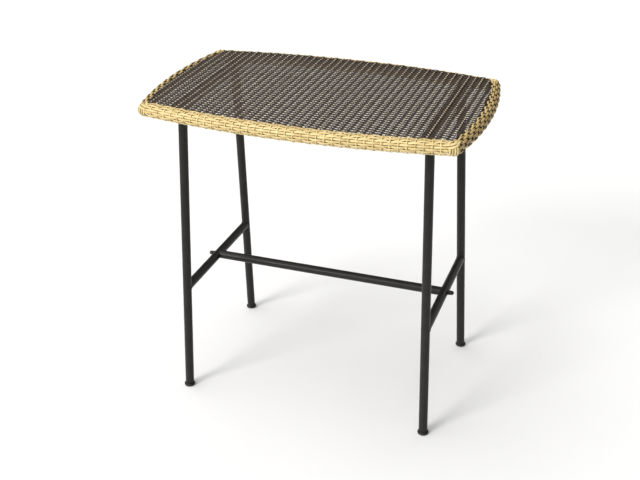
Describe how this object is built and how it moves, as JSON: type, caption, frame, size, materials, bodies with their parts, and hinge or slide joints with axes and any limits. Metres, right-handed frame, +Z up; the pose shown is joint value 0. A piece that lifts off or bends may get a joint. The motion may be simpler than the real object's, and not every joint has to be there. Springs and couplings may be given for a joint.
{
  "type": "pub table",
  "caption": "Counter-height pub table with a bowed rectangular woven top, a rolled straw-coloured border, and splayed black tube legs tied by side stretchers and one long stretcher.",
  "frame": {"origin": "on the floor, under the middle of the table top", "axes": "+X along the table's length to its right end, +Y to its back, +Z up"},
  "size_m": [0.9424, 0.591, 0.914],
  "materials": {
    "rattan_straw": "flat woven straw-coloured strand, satin",
    "rattan_brown": "round and flat woven dark brown strand, satin",
    "black_steel": "satin black powder coat",
    "zinc_steel": "zinc plated",
    "black_plastic": "moulded black plastic"
  },
  "bodies": {
    "table": {"border_wrap_back": "rattan_straw", "border_wrap_front": "rattan_straw", "border_wrap_left": "rattan_straw", "border_wrap_right": "rattan_straw", "cap_nut_left": "black_steel", "cap_nut_right": "black_steel", "corner_wrap_back_left": "rattan_straw", "corner_wrap_back_right": "rattan_straw", "corner_wrap_front_left": "rattan_straw", "corner_wrap_front_right": "rattan_straw", "cross_rail_left": "black_steel", "cross_rail_right": "black_steel", "leg_back_left": "black_steel", "leg_back_right": "black_steel", "leg_front_left": "black_steel", "leg_front_right": "black_steel", "leg_insert_back_left": "black_plastic", "leg_insert_back_right": "black_plastic", "leg_insert_front_left": "black_plastic", "leg_insert_front_right": "black_plastic", "leg_plate_back_left": "black_steel", "leg_plate_back_right": "black_steel", "leg_plate_bolts": "zinc_steel", "leg_plate_front_left": "black_steel", "leg_plate_front_right": "black_steel", "long_stretcher": "black_steel", "rail_weld_nuts": "zinc_steel", "rim_tube_back": "black_steel", "rim_tube_front": "black_steel", "rim_tube_left": "black_steel", "rim_tube_right": "black_steel", "saddle_washer_left": "black_steel", "saddle_washer_right": "black_steel", "side_stretcher_left": "black_steel", "side_stretcher_right": "black_steel", "stretcher_plug_left": "zinc_steel", "stretcher_plug_right": "zinc_steel", "stretcher_stud_left": "zinc_steel", "stretcher_stud_right": "zinc_steel", "woven_field": "rattan_brown"},
    "glide_back_right": {"foot_glide_back_right": "black_plastic", "glide_stud_back_right": "zinc_steel"},
    "glide_back_left": {"foot_glide_back_left": "black_plastic", "glide_stud_back_left": "zinc_steel"},
    "glide_front_right": {"foot_glide_front_right": "black_plastic", "glide_stud_front_right": "zinc_steel"},
    "glide_front_left": {"foot_glide_front_left": "black_plastic", "glide_stud_front_left": "zinc_steel"}
  },
  "joints": [
    {"name": "glide_back_right_screw", "type": "slide", "parent": "table", "child": "glide_back_right", "axis": [0.0279, 0.0709, -0.9971], "range_m": [0, 0.01]},
    {"name": "glide_back_left_screw", "type": "slide", "parent": "table", "child": "glide_back_left", "axis": [-0.0279, 0.0709, -0.9971], "range_m": [0, 0.01]},
    {"name": "glide_front_right_screw", "type": "slide", "parent": "table", "child": "glide_front_right", "axis": [0.0279, -0.0709, -0.9971], "range_m": [0, 0.01]},
    {"name": "glide_front_left_screw", "type": "slide", "parent": "table", "child": "glide_front_left", "axis": [-0.0279, -0.0709, -0.9971], "range_m": [0, 0.01]}
  ]
}
